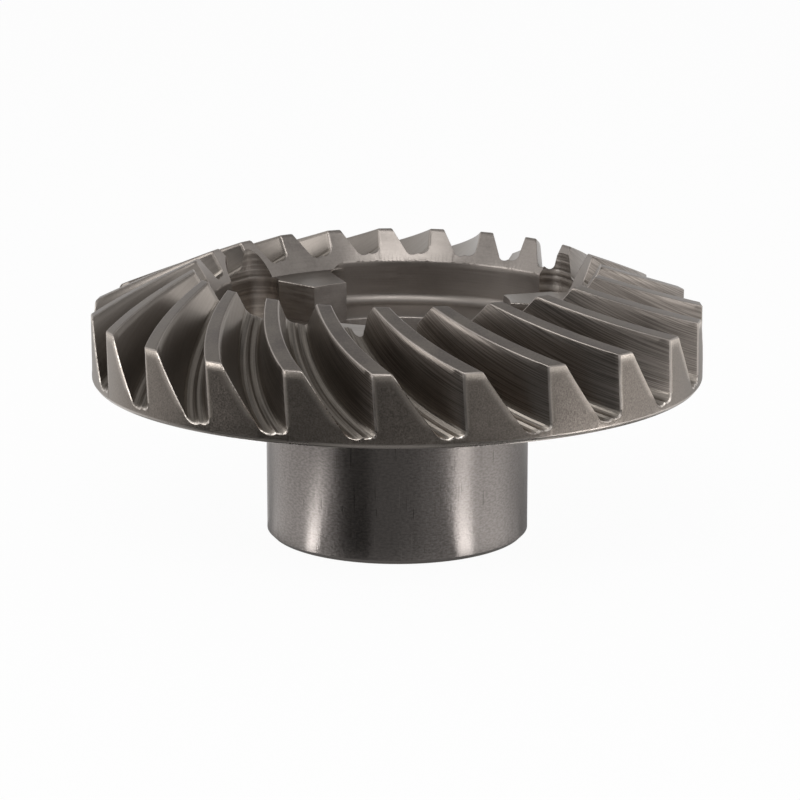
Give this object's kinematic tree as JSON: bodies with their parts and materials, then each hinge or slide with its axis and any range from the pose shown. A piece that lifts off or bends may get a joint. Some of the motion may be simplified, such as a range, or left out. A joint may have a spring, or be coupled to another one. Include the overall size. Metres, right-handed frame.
{
  "type": "spiral bevel reverse gear",
  "caption": "Spiral bevel reverse gear with curved teeth on a dished rim, milled clutch dogs round a through bore and a plain bearing journal.",
  "frame": {"origin": "centre of the hub's end face, which the gear stands on", "axes": "+Z along the gear's axis from the hub's end to the teeth, X and Y across it"},
  "size_m": [0.081, 0.081, 0.0362],
  "materials": {
    "steel": "case-hardened steel, milled teeth and dogs, ground journal"
  },
  "bodies": {
    "root": {"reverse_gear": "steel"}
  },
  "joints": []
}
